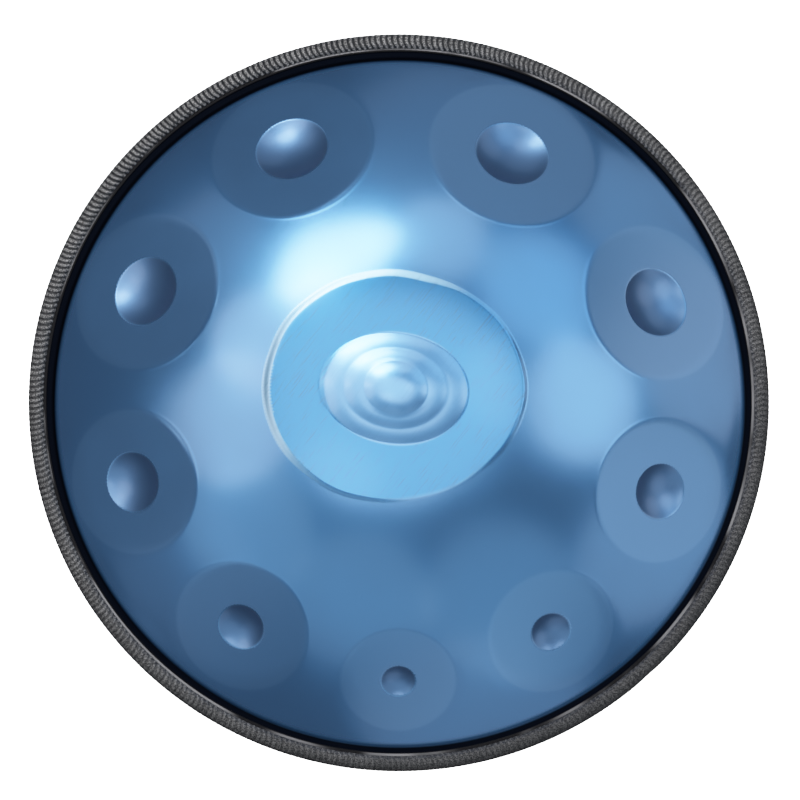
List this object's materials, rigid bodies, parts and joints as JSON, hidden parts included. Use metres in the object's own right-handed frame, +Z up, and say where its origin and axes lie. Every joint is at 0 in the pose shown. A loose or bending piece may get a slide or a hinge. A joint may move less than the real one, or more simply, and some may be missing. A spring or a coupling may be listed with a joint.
{
  "type": "handpan",
  "caption": "Handpan: two domed steel shells joined at a braided rim, with a raised central ding, dimpled tone fields and a round sound port underneath.",
  "frame": {"origin": "bottom centre, in the plane of the flat ring round the sound port", "axes": "+Z up along the instrument's axis, towards the ding; +Y towards the two largest tone fields, away from the player"},
  "size_m": [0.56, 0.5598, 0.2164],
  "materials": {
    "note_side_steel": "satin, blue heat-tinted and lightly brushed",
    "bottom_steel": "satin, blue heat-tinted",
    "seam_glue": "cured adhesive",
    "guard_rubber": "matte black rubber",
    "braid_cord": "tight dark grey braid"
  },
  "bodies": {
    "root": {"top_shell": "note_side_steel", "bottom_shell": "bottom_steel", "glue_seam": "seam_glue", "rim_guard": "guard_rubber", "rim_braid": "braid_cord"}
  },
  "joints": []
}
